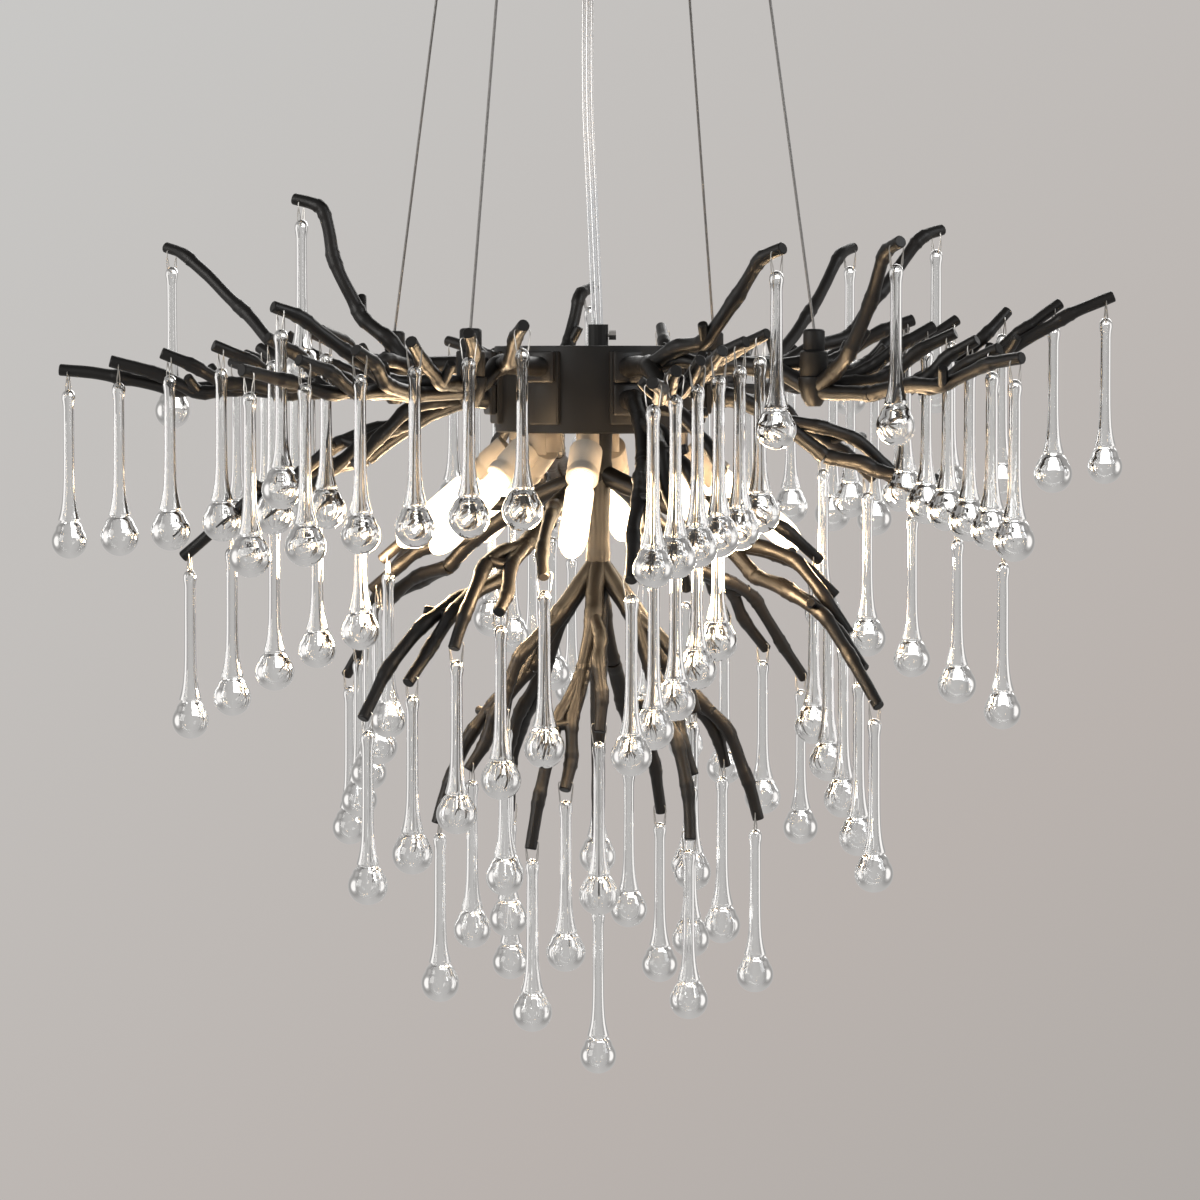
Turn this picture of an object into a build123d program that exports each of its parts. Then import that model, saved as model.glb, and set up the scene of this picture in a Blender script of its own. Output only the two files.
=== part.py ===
"""Branch chandelier with glass drops, hung from a ceiling canopy. Millimetres, +Z up, ceiling at z = 0."""

import os
from math import atan2, cos, degrees, radians, sin, tan

from build123d import *

os.makedirs("parts", exist_ok=True)

# Ceiling fitting
CANOPY_R = 120
CANOPY_DEPTH = 28
CANOPY_WALL = 1.5
BRACKET = (200, 22, 2.5)
CEILING_HOLE_R = 2.5
CEILING_HOLE_PITCH = 90
STUD_R = 2
STUD_REACH = 85
STUD_L = 31
NUT_R = 4.5
NUT_H = 6
BLOCK = (40, 18, 16)

# Suspension
CABLE_R = 0.75
ANCHOR_R = 6
ANCHOR_H = 14
ANCHOR_REACH = 105
GRIP_REACH = 135
GRIP_LOW_R = 7.8
GRIP_LOW_H = 14
GRIP_HIGH_R = 6
GRIP_HIGH_H = 12
CABLE_BITE = 6
CORD_R = 3.35
CORD_SWAY = [0, -3, -7, -5]
CORD_BEND_SHARE = 0.45
CORD_GRIP_R = 5.6
CORD_GRIP_H = 12
THUMB_R = 2.6
THUMB_L = 4
THUMB_PIN_R = 1
RUNNING_GAP = 0.35

# Hub
HUB_TOP = -246
HUB_R = 58
HUB_H = 45
HUB_WALL = 2
COVER_H = 3
PAD_FACE = 60
PAD_BACK = 53
PAD_W = 18
PAD_H = 40
PAD_DROP = 3
FOOT = (4, 16, 17)
FOOT_GAP = 1
SCREW_R = 1.7
SCREW_HEAD_R = 3.4
SCREW_HEAD_H = 2.6
SCREW_L = 9

# Lamps
LAMPS = 8
LAMP_FIRST = 37.5
LAMP_REACH = 50
LAMP_DIP = 9
LAMP_SPLAY = 41
HOLDER_R = 9
HOLDER_L = 24
STUB_R = 6.3
STUB_BITE = 3
STUB_BACK = 6
BULB_R = 8
BULB_L = 60
BULB_NOSE = 7

# Branches
STEM_R = 4.6
TWIG_R = 3.1
KNOT_R = 1.25
TIP_PAST_HOLE = 5
HANG_HOLE = 2.4
STEM_SIDES = 5
TWIG_SIDES = 4
TRUNK_SIDES = 6
STEM_END_R = 3.9
BOSS_R = 8.6
BOSS_FOOT_R = 6
BOSS_TOP = -17
BOSS_H = 16
TRUNK = [(-48, 8.2), (-70, 7.2), (-120, 6.2), (-180, 4.8), (-293, 3.1), (-311, 3.1)]
CROWN_LIFT = 0.35
CROWN_BEND = 0.45
CROWN_SAG = 0.12
CROWN_TIP = 13

# Glass drops
DROP_L = 96
DROP_SIDES = 5
HEAD_R = 4.2
NECK_R = 3.8
FLARE_DOWN = 68
BALL_R = 11
BALL_HIGH_DOWN = 80.5
BALL_LOW_DOWN = 89.5
BALL_FOOT_R = 4.6
WIRE = 1
WIRE_DROP = 10
WIRE_SPAN = 5
WIRE_FOOT = 3
WIRE_SEAT = 0.02

# Rows of hang points: azimuth, inner and outer end as (outwards, sideways, above hub top), drops
UPPER = [
    (-120, (165, 50, 8), (275, -45, -14), 6),
    (-75, (160, 45, 4), (262, -42, -20), 6),
    (-30, (165, 52, 12), (272, -40, -8), 6),
    (15, (165, 50, 4), (285, -45, 26), 6),
    (60, (160, 48, 10), (268, -40, -12), 6),
    (105, (165, 45, 2), (262, -45, -16), 6),
    (150, (160, 50, 8), (275, -42, -10), 6),
    (195, (165, 52, 6), (290, -45, -14), 6),
]
MIDDLE = [
    (-75, (140, 28, -64), (222, -42, -116), 5),
    (15, (142, 30, -60), (226, -40, -112), 5),
    (105, (140, 28, -66), (220, -42, -118), 5),
    (195, (142, 30, -62), (224, -40, -114), 5),
]
STEEP = [
    (-120, (116, 34, -120), (190, -30, -192), 5),
    (-30, (118, 34, -116), (188, -32, -188), 5),
    (60, (116, 34, -122), (190, -30, -194), 5),
    (150, (118, 34, -118), (188, -32, -190), 5),
]
LOWER = [
    (-165, (58, 16, -200), (88, -14, -262), 3),
    (-105, (58, 16, -206), (86, -14, -268), 3),
    (-45, (58, 16, -198), (84, -14, -264), 3),
    (15, (58, 16, -204), (88, -14, -262), 3),
    (75, (58, 16, -200), (86, -14, -266), 3),
    (135, (58, 16, -206), (86, -14, -264), 3),
]
# Raised twigs, one per upper branch: azimuth, reach and height of the hang point, stem station it grows from
CROWN = [
    (-134, 236, 18, 2),
    (-62, 196, 48, 1),
    (-44, 216, 52, 2),
    (24, 214, 66, 1),
    (57, 284, 60, 2),
    (92, 140, 34, 1),
    (147, 304, 58, 2),
    (183, 165, 80, 1),
]
CENTRE_DROP = -306
CABLE_BRANCHES = (0, 2, 4, 6)
# Each tier: stations of its stem, the station that each twig leaves, how far its twigs arch
UPPER_TIER = ([(62.5, 0, -11.5), (107, 0, -11.5), (135, 0, -23.6), (175, -10, -26)], [1, 2, 2, 3, 3, 3], -7)
MIDDLE_TIER = ([(62.5, 0, -29.5), (78, 0, -29.5), (104, -4, -42), (130, -10, -62)], [1, 2, 2, 3, 3], 10)
STEEP_TIER = ([(0, 0, -70), (45, 0, -88), (80, 0, -108), (100, -2, -126)], [1, 2, 2, 3, 3], 13)
LOWER_TIER = ([(0, 0, -120), (24, 4, -150), (40, 2, -180)], [1, 2, 2], 8)
ARCH_SHARE = [1, 0.5, 1.2, 0.7, 1.1, 0.6]


def spot(azimuth, out, side, above):
    return Vector(out, side, HUB_TOP + above).rotate(Axis.Z, azimuth)


def ring(centre, normal, radius, sides):
    flat = Plane(origin=centre, x_dir=normal.cross(Vector(0.31, 0.17, 0.93)), z_dir=normal)
    turns = [360 * (k + 0.5) / sides for k in range(sides)]
    return [flat.from_local_coords((radius * cos(radians(t)), radius * sin(radians(t)), 0)) for t in turns]


def rod(points, radii, sides=STEM_SIDES, normals=None):
    """Tapered many-sided pieces from point to point, with flat sides: every joint is square to the whole run."""
    run = (points[-1] - points[0]).normalized()
    rings = [ring(p, n, r, sides) for p, n, r in zip(points, normals or [run] * len(points), radii)]
    return [ConvexPolyhedron(a + b, mode=Mode.PRIVATE) for a, b in zip(rings, rings[1:])]


def hang_points(row):
    azimuth, inner, outer, count = row
    a = spot(azimuth, *inner)
    b = spot(azimuth, *outer)
    return [a + (b - a) * (k / (count - 1)) for k in range(count)]


def hang_axis(points):
    return (points[-1] - points[0]).normalized()


def level(axis):
    return Vector(axis.X, axis.Y, 0).normalized()


def fan(row, tier):
    """Stem of a row and the route of each twig: its fork, its bend and its blunt end."""
    stations, forks, arch = tier
    stem = [spot(row[0], *station) for station in stations]
    routes = []
    for fork, share, point in zip(forks, ARCH_SHARE, hang_points(row)):
        chord = point - stem[fork]
        over = chord.cross(Vector(0, 0, 1)).cross(chord).normalized()
        bend = stem[fork] + chord / 2 + over * (arch * share)
        routes.append([stem[fork], bend, point + (point - bend).normalized() * TIP_PAST_HOLE])
    return stem, routes


def across(route):
    """Level direction square to a twig's tip, for its hole and wire."""
    return level(route[-1] - route[-2]).cross(Vector(0, 0, 1))


def arm(row, tier):
    """A stem with its twigs."""
    stem, routes = fan(row, tier)
    taper = [STEM_R - (STEM_R - STEM_END_R) * k / (len(stem) - 1) for k in range(len(stem))]
    pieces = rod(stem, taper)
    for route in routes:
        pieces += rod(route, [STEM_END_R, TWIG_R * KNOT_R, TWIG_R], TWIG_SIDES)
    return pieces


def hang_hole(point, way):
    long = way * (3 * TWIG_R)
    half = HANG_HOLE / 2 * 2**0.5
    return rod([point - long, point + long], [half, half], 4)


def row_holes(row, tier):
    points, ways, axis = row_hangers(row, tier)
    return [piece for point, way in zip(points, ways) for piece in hang_hole(point, way)]


def row_hangers(row, tier):
    """Hang points of a row, the way its wires lie, and the line it swings about."""
    points = hang_points(row)
    return points, [across(route) for route in fan(row, tier)[1]], hang_axis(points)


def crown_tip(k):
    """Hang point and route of a raised twig."""
    azimuth, reach, above, station = CROWN[k]
    point = spot(azimuth, reach, 0, above)
    start = fan(UPPER[k], UPPER_TIER)[0][station]
    rise = point - start
    aim = (level(rise) + Vector(0, 0, CROWN_LIFT)).normalized()
    bend = start + rise * CROWN_BEND - Vector(0, 0, CROWN_SAG * rise.length)
    return point, [start, bend, point - aim * CROWN_TIP, point + aim * TIP_PAST_HOLE]


def foot_block(azimuth, top):
    """Foot plate of a branch on its hub pad."""
    x, y, z = FOOT
    corners = [(PAD_FACE + i * x, (j - 0.5) * y, top - n * z) for i in (0, 1) for j in (0, 1) for n in (0, 1)]
    return ConvexPolyhedron([spot(azimuth, *c) for c in corners], mode=Mode.PRIVATE)


def screw_shank(azimuth, above):
    ends = [spot(azimuth, u, 0, above) for u in (PAD_BACK, PAD_BACK + SCREW_L)]
    return rod(ends, [SCREW_R, SCREW_R])


def stack(levels, sides):
    """Stacked many-sided pieces down the Z axis, from (depth, radius) pairs."""
    down = Vector(0, 0, -1)
    rings = [ring(Vector(0, 0, -depth), down, radius, sides) for depth, radius in levels]
    return [ConvexPolyhedron(a + b, mode=Mode.PRIVATE) for a, b in zip(rings, rings[1:])]


with BuildPart() as ceiling_bracket:
    with BuildSketch(Plane.XY.offset(-BRACKET[2])):
        Rectangle(BRACKET[0], BRACKET[1])
        with GridLocations(CEILING_HOLE_PITCH, 0, 2, 1):
            Circle(CEILING_HOLE_R, mode=Mode.SUBTRACT)
    extrude(amount=BRACKET[2])
    with BuildSketch(Plane.XY.offset(-STUD_L)):
        with GridLocations(2 * STUD_REACH, 0, 2, 1):
            Circle(STUD_R)
    extrude(amount=STUD_L - BRACKET[2])

CORD_TOP = -BRACKET[2] - BLOCK[2]
CORD_RUN = (CORD_TOP - HUB_TOP) / (len(CORD_SWAY) - 1)
CORD_POINTS = [Vector(sway, 0, HUB_TOP + CORD_RUN * k) for k, sway in enumerate(CORD_SWAY)]


def bend_radii(points):
    """Largest easy radius at each bend of a cord."""
    radii = []
    for a, b, c in zip(points, points[1:], points[2:]):
        half_turn = radians((b - a).get_angle(c - b) / 2)
        radii.append(CORD_BEND_SHARE * min((b - a).length, (c - b).length) / tan(half_turn))
    return radii


with BuildPart() as power_cord:
    with BuildLine() as cord_line:
        cord_radii = bend_radii(CORD_POINTS)
        FilletPolyline(*CORD_POINTS, radius=cord_radii)
    with BuildSketch(Plane(origin=CORD_POINTS[0], z_dir=CORD_POINTS[1] - CORD_POINTS[0])):
        Circle(CORD_R)
    sweep()
print("cord radii", [round(r) for r in cord_radii])

with BuildPart() as canopy_cover:
    with BuildSketch(Plane.XY.offset(-CANOPY_DEPTH)):
        Circle(CANOPY_R)
    extrude(amount=CANOPY_DEPTH)
    with BuildSketch(Plane.XY.offset(CANOPY_WALL - CANOPY_DEPTH)):
        Circle(CANOPY_R - CANOPY_WALL)
    extrude(amount=CANOPY_DEPTH, mode=Mode.SUBTRACT)
    with BuildSketch(Plane.XY.offset(-CANOPY_DEPTH)):
        with GridLocations(2 * STUD_REACH, 0, 2, 1):
            Circle(STUD_R)
    extrude(amount=CANOPY_WALL, mode=Mode.SUBTRACT)
    add(power_cord.part, mode=Mode.SUBTRACT)

with BuildPart() as canopy_nuts:
    with BuildSketch(Plane.XY.offset(-CANOPY_DEPTH)):
        with GridLocations(2 * STUD_REACH, 0, 2, 1):
            RegularPolygon(NUT_R, 6)
    extrude(amount=-NUT_H)
    with BuildSketch(Plane.XY.offset(-CANOPY_DEPTH)):
        with GridLocations(2 * STUD_REACH, 0, 2, 1):
            Circle(STUD_R)
    extrude(amount=CANOPY_DEPTH - STUD_L, mode=Mode.SUBTRACT)

with BuildPart() as terminal_block:
    with BuildSketch(Plane.XY.offset(-BRACKET[2])):
        Rectangle(BLOCK[0], BLOCK[1])
    extrude(amount=-BLOCK[2])

CABLE_AZIMUTHS = [UPPER[k][0] for k in CABLE_BRANCHES]
GRIP_TOP = BOSS_TOP + GRIP_LOW_H + GRIP_HIGH_H
ANCHOR_FOOT = -CANOPY_DEPTH - ANCHOR_H

with BuildPart() as cable_anchors:
    for azimuth in CABLE_AZIMUTHS:
        with BuildSketch(Plane(origin=Vector(ANCHOR_REACH, 0, ANCHOR_FOOT).rotate(Axis.Z, azimuth))):
            RegularPolygon(ANCHOR_R, 8)
        extrude(amount=ANCHOR_H)

with BuildPart() as cable_grips:
    for azimuth in CABLE_AZIMUTHS:
        with BuildSketch(Plane(origin=spot(azimuth, GRIP_REACH, 0, BOSS_TOP))):
            RegularPolygon(GRIP_LOW_R, 8)
        extrude(amount=GRIP_LOW_H)
        with BuildSketch(Plane(origin=spot(azimuth, GRIP_REACH, 0, BOSS_TOP + GRIP_LOW_H))):
            RegularPolygon(GRIP_HIGH_R, 8)
        extrude(amount=GRIP_HIGH_H)

with BuildPart() as suspension_cables:
    for azimuth in CABLE_AZIMUTHS:
        low = spot(azimuth, GRIP_REACH, 0, GRIP_TOP)
        high = Vector(ANCHOR_REACH, 0, ANCHOR_FOOT).rotate(Axis.Z, azimuth)
        rise = (high - low).normalized()
        with BuildSketch(Plane(origin=low - rise * CABLE_BITE, z_dir=rise)):
            RegularPolygon(CABLE_R, 6)
        extrude(amount=(high - low).length + 2 * CABLE_BITE)
    add(cable_anchors.part, mode=Mode.SUBTRACT)
    add(cable_grips.part, mode=Mode.SUBTRACT)

with BuildPart() as cord_grip:
    with BuildSketch(Plane.XY.offset(HUB_TOP)):
        RegularPolygon(CORD_GRIP_R, 16)
    extrude(amount=CORD_GRIP_H)
    add(power_cord.part, mode=Mode.SUBTRACT)
    with BuildSketch(Plane(origin=(0, 0, HUB_TOP + CORD_GRIP_H / 2), z_dir=(1, 0, 0))):
        Circle(THUMB_PIN_R + RUNNING_GAP)
    extrude(amount=CORD_GRIP_R, mode=Mode.SUBTRACT)

with BuildPart() as cord_thumb_screw:
    with BuildSketch(Plane(origin=(CORD_R + RUNNING_GAP, 0, HUB_TOP + CORD_GRIP_H / 2), z_dir=(1, 0, 0))):
        Circle(THUMB_PIN_R)
    extrude(amount=CORD_GRIP_R - CORD_R)
    with BuildSketch(Plane(origin=(CORD_GRIP_R + RUNNING_GAP, 0, HUB_TOP + CORD_GRIP_H / 2), z_dir=(1, 0, 0))):
        RegularPolygon(THUMB_R, 8)
    extrude(amount=THUMB_L)

UPPER_FOOT_TOP = -PAD_DROP
MIDDLE_FOOT_TOP = UPPER_FOOT_TOP - FOOT[2] - FOOT_GAP
SCREWS = [(row[0], UPPER_FOOT_TOP - FOOT[2] / 2) for row in UPPER]
SCREWS += [(row[0], MIDDLE_FOOT_TOP - FOOT[2] / 2) for row in MIDDLE]

with BuildPart() as hub_housing:
    with BuildSketch(Plane.XY.offset(HUB_TOP - HUB_H)):
        Circle(HUB_R)
    extrude(amount=HUB_H)
    with BuildSketch(Plane.XY.offset(HUB_TOP - HUB_H)):
        Circle(HUB_R - HUB_WALL)
    extrude(amount=HUB_H - HUB_WALL, mode=Mode.SUBTRACT)
    for row in UPPER:
        pad = Plane(origin=spot(row[0], PAD_BACK, 0, -PAD_DROP), z_dir=spot(row[0], 1, 0, -HUB_TOP))
        with BuildSketch(Plane(origin=pad.origin, x_dir=(0, 0, -1), z_dir=pad.z_dir)):
            with Locations((PAD_H / 2, 0)):
                Rectangle(PAD_H, PAD_W)
        extrude(amount=PAD_FACE - PAD_BACK)
    add([piece for s in SCREWS for piece in screw_shank(*s)], mode=Mode.SUBTRACT)

with BuildPart() as branch_screws:
    for azimuth, above in SCREWS:
        add(screw_shank(azimuth, above))
        head = [spot(azimuth, u, 0, above) for u in (PAD_BACK - SCREW_HEAD_H, PAD_BACK)]
        add(rod(head, [SCREW_HEAD_R, SCREW_HEAD_R]))

with BuildPart() as hub_cover:
    with BuildSketch(Plane.XY.offset(HUB_TOP - HUB_H - COVER_H)):
        Circle(HUB_R)
    extrude(amount=COVER_H)

LAMP_TOP = -HUB_H - COVER_H
LAMP_AIM = Vector(cos(radians(LAMP_SPLAY)), 0, -sin(radians(LAMP_SPLAY)))
LAMP_TURNS = [LAMP_FIRST + 360 / LAMPS * k for k in range(LAMPS)]

with BuildPart() as lamp_holders:
    for turn in LAMP_TURNS:
        base = spot(turn, LAMP_REACH, 0, LAMP_TOP - LAMP_DIP)
        aim = LAMP_AIM.rotate(Axis.Z, turn)
        add(rod([base, base + aim * HOLDER_L], [HOLDER_R, HOLDER_R], 8))
        stub = [spot(turn, LAMP_REACH - STUB_BACK, 0, LAMP_TOP - d) for d in (0, LAMP_DIP + STUB_BITE)]
        add(rod(stub, [STUB_R, STUB_R], 8))

with BuildPart() as bulbs:
    for turn in LAMP_TURNS:
        aim = LAMP_AIM.rotate(Axis.Z, turn)
        base = spot(turn, LAMP_REACH, 0, LAMP_TOP - LAMP_DIP) + aim * HOLDER_L
        nose = base + aim * (BULB_L - BULB_NOSE)
        add(rod([base, nose, base + aim * BULB_L], [BULB_R, BULB_R, BULB_R / 2], 8))

with BuildPart() as glass_drop:
    ball = [(BALL_HIGH_DOWN, BALL_R), (BALL_LOW_DOWN, BALL_R), (DROP_L, BALL_FOOT_R)]
    add(stack([(0, HEAD_R), (FLARE_DOWN, NECK_R), *ball], DROP_SIDES))

with BuildPart() as wire_hanger:
    foot = Vector(WIRE_FOOT, 0, WIRE_SEAT - WIRE_DROP)
    bar = Vector(WIRE_SPAN, 0, 0)
    heel = Vector(-WIRE_FOOT, 0, WIRE_SEAT - WIRE_DROP)
    up = Vector(0, 0, 1)
    right = Vector(1, 0, 0)
    mitres = [up, (up + right).normalized(), (right - up).normalized(), -up]
    add(rod([heel, -bar, bar, foot], [WIRE / 2] * 4, 3, mitres))

nodes = {
    "ceiling_bracket": ceiling_bracket,
    "canopy_cover": canopy_cover,
    "canopy_nuts": canopy_nuts,
    "terminal_block": terminal_block,
    "suspension_cables": suspension_cables,
    "cable_anchors": cable_anchors,
    "cable_grips": cable_grips,
    "power_cord": power_cord,
    "cord_grip": cord_grip,
    "cord_thumb_screw": cord_thumb_screw,
    "hub_housing": hub_housing,
    "branch_screws": branch_screws,
    "hub_cover": hub_cover,
    "lamp_holders": lamp_holders,
    "bulbs": bulbs,
}

hung = []
for k, row in enumerate(UPPER):
    point, raised = crown_tip(k)
    with BuildPart() as upper_branch:
        add(foot_block(row[0], UPPER_FOOT_TOP))
        add(arm(row, UPPER_TIER))
        add(rod(raised, [STEM_R, TWIG_R * KNOT_R, TWIG_R, TWIG_R], TWIG_SIDES))
        if k in CABLE_BRANCHES:
            boss = [spot(row[0], GRIP_REACH, 0, BOSS_TOP - d) for d in (0, BOSS_H)]
            add(rod(boss, [BOSS_R, BOSS_FOOT_R], 8))
        add(row_holes(row, UPPER_TIER), mode=Mode.SUBTRACT)
        add(hang_hole(point, across(raised)), mode=Mode.SUBTRACT)
        add(screw_shank(*SCREWS[k]), mode=Mode.SUBTRACT)
        add(cable_grips.part, mode=Mode.SUBTRACT)
    nodes[f"upper_branch_{k + 1}"] = upper_branch
    hung.append((f"upper_drops_{k + 1}", *row_hangers(row, UPPER_TIER)))
    hung.append((f"crown_drop_{k + 1}", [point], [across(raised)], across(raised)))

for k, row in enumerate(MIDDLE):
    with BuildPart() as middle_branch:
        add(foot_block(row[0], MIDDLE_FOOT_TOP))
        add(arm(row, MIDDLE_TIER))
        add(row_holes(row, MIDDLE_TIER), mode=Mode.SUBTRACT)
        add(screw_shank(*SCREWS[len(UPPER) + k]), mode=Mode.SUBTRACT)
    nodes[f"middle_branch_{k + 1}"] = middle_branch
    hung.append((f"middle_drops_{k + 1}", *row_hangers(row, MIDDLE_TIER)))

with BuildPart() as lower_branch:
    add(rod([spot(0, 0, 0, above) for above, r in TRUNK], [r for above, r in TRUNK], TRUNK_SIDES))
    for rows, tier, title in ((STEEP, STEEP_TIER, "steep_drops"), (LOWER, LOWER_TIER, "lower_drops")):
        for k, row in enumerate(rows):
            add(arm(row, tier))
            add(row_holes(row, tier), mode=Mode.SUBTRACT)
            hung.append((f"{title}_{k + 1}", *row_hangers(row, tier)))
    trunk_tip, tip_way = spot(0, 0, 0, CENTRE_DROP), Vector(0, 1, 0)
    add(hang_hole(trunk_tip, tip_way), mode=Mode.SUBTRACT)
    hung.append(("centre_drop", [trunk_tip], [tip_way], tip_way))
nodes["lower_branch"] = lower_branch

for name, points, ways, axis in hung:
    turns = [degrees(atan2(way.Y, way.X)) for way in ways]
    with BuildPart() as drops:
        with Locations(*[Location(p - Vector(0, 0, WIRE_DROP), (0, 0, t)) for p, t in zip(points, turns)]):
            add(glass_drop.part)
        with Locations(*[Location(p, (0, 0, t)) for p, t in zip(points, turns)]):
            add(wire_hanger.part)
    nodes[name] = drops
    print(name, [round(v / 1000, 6) for v in points[0]], [round(v, 6) for v in axis])

for name, built in nodes.items():
    built.part.label = name
    export_step(built.part, f"parts/{name}.step")
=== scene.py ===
"""Looks of the branch chandelier: knotted black castings, clear glass drops on wire, lit capsule bulbs."""

import math

import bpy
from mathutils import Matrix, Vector, noise


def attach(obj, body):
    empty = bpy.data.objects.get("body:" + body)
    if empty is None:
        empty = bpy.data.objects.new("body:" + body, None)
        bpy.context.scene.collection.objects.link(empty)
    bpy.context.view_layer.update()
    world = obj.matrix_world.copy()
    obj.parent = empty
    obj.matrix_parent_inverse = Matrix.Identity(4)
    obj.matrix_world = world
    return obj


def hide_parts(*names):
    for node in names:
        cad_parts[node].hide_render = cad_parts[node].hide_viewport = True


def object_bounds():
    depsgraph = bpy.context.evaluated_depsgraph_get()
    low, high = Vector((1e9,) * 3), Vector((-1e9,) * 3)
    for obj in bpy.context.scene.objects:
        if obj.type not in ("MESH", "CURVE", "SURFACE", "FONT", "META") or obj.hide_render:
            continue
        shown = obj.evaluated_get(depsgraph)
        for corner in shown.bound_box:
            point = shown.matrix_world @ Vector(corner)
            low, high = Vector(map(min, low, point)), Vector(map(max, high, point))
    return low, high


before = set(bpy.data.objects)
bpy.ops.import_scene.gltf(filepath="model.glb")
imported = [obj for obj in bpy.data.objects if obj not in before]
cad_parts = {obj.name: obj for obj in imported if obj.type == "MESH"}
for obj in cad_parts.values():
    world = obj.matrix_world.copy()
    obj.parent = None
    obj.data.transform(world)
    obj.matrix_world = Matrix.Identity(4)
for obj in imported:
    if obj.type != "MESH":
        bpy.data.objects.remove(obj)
cad_box = [list(corner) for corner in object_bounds()]
MM = 0.001

# Sizes of the castings, as in the solids, in millimetres
HUB_TOP = -246
HUB_H = 45
COVER_H = 3
PAD_FACE = 60
PAD_DROP = 3
FOOT = (4, 16, 17)
FOOT_GAP = 1
GRIP_REACH = 135
BOSS_TOP = -17
STEM_R = 4.6
STEM_END_R = 3.9
TWIG_R = 3.1
TIP_PAST_HOLE = 5
WIRE_DROP = 10
CENTRE_DROP = -306
TRUNK = [(-48, 8.2), (-70, 7.2), (-120, 6.2), (-180, 4.8), (-293, 3.1), (-311, 3.1)]
CROWN_LIFT = 0.35
CROWN_BEND = 0.45
CROWN_SAG = 0.12
CROWN_TIP = 13

# Eased edges of feet and pads, and the boss under each cable grip as distance and radius
FOOT_EDGE, PAD_EDGE = 0.8, 0.6
SEAT = [(0, 8.2), (1, 8.6), (5, 8.4), (11, 6.8), (15, 4.5), (16, 3.5)]

# Unevenness of the castings: knots and ridges, crooks, skin, cut ends, stubs and kinks
ROOT_R = 5.6
TWIG_RADII = [STEM_END_R, TWIG_R * 1.15, TWIG_R * 1.05]
RAISED_RADII = [STEM_R, TWIG_R * 1.25, TWIG_R * 1.1, TWIG_R * 1.05]
BEND_PULL, END_PULL = 0.32, 0.5
KNOT_SWELL, KNOT_SPREAD = 0.55, 30
RIDGE_SWELL, RIDGE_AT, RIDGE_WIDTH = 0.4, 3.4, 0.9
STRAIGHT_END, CROOK_FADE = 14, 22
SWELL_NOISE, CROOK_NOISE, SKIN_NOISE = 0.045, 0.04, 0.16
SKIN_DEPTH = 0.04
CUT_BACK, CUT_SHARE = 0.5, 0.86
LEAST_R = 0.02
STUB_L, STUB_SHARE, STUB_NOISE = 6.5, 1.6, 0.11
STUB_RISE, STUB_ALONG, STUB_SAG = 0.8, 0.9, 0.8
STUB_RADII = [TWIG_R, TWIG_R * 0.92, TWIG_R * 0.85]
KINK, KINK_RUN, KINK_SPREAD = 2.6, 34, 0.12
KINK_NOISE, PUSH_NOISE = 0.09, 0.13

# Rows of hang points: azimuth, inner and outer end as (outwards, sideways, above hub top), drops
UPPER = [
    (-120, (165, 50, 8), (275, -45, -14), 6),
    (-75, (160, 45, 4), (262, -42, -20), 6),
    (-30, (165, 52, 12), (272, -40, -8), 6),
    (15, (165, 50, 4), (285, -45, 26), 6),
    (60, (160, 48, 10), (268, -40, -12), 6),
    (105, (165, 45, 2), (262, -45, -16), 6),
    (150, (160, 50, 8), (275, -42, -10), 6),
    (195, (165, 52, 6), (290, -45, -14), 6),
]
MIDDLE = [
    (-75, (140, 28, -64), (222, -42, -116), 5),
    (15, (142, 30, -60), (226, -40, -112), 5),
    (105, (140, 28, -66), (220, -42, -118), 5),
    (195, (142, 30, -62), (224, -40, -114), 5),
]
STEEP = [
    (-120, (116, 34, -120), (190, -30, -192), 5),
    (-30, (118, 34, -116), (188, -32, -188), 5),
    (60, (116, 34, -122), (190, -30, -194), 5),
    (150, (118, 34, -118), (188, -32, -190), 5),
]
LOWER = [
    (-165, (58, 16, -200), (88, -14, -262), 3),
    (-105, (58, 16, -206), (86, -14, -268), 3),
    (-45, (58, 16, -198), (84, -14, -264), 3),
    (15, (58, 16, -204), (88, -14, -262), 3),
    (75, (58, 16, -200), (86, -14, -266), 3),
    (135, (58, 16, -206), (86, -14, -264), 3),
]
CROWN = [
    (-134, 236, 18, 2),
    (-62, 196, 48, 1),
    (-44, 216, 52, 2),
    (24, 214, 66, 1),
    (57, 284, 60, 2),
    (92, 140, 34, 1),
    (147, 304, 58, 2),
    (183, 165, 80, 1),
]
# Each tier: stations of its stem, the station that each twig leaves, how far its twigs arch
UPPER_TIER = ([(62.5, 0, -11.5), (107, 0, -11.5), (135, 0, -23.6), (175, -10, -26)], [1, 2, 2, 3, 3, 3], -7)
MIDDLE_TIER = ([(62.5, 0, -29.5), (78, 0, -29.5), (104, -4, -42), (130, -10, -62)], [1, 2, 2, 3, 3], 10)
STEEP_TIER = ([(0, 0, -70), (45, 0, -88), (80, 0, -108), (100, -2, -126)], [1, 2, 2, 3, 3], 13)
LOWER_TIER = ([(0, 0, -120), (24, 4, -150), (40, 2, -180)], [1, 2, 2], 8)
ARCH_SHARE = [1, 0.5, 1.2, 0.7, 1.1, 0.6]
CABLE_BRANCHES = (0, 2, 4, 6)
DRIFT_SHIFTS = [(3.7, 11.3, 5.9), (17.1, 2.3, 29.4), (8.6, 23.8, 13.2)]
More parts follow.
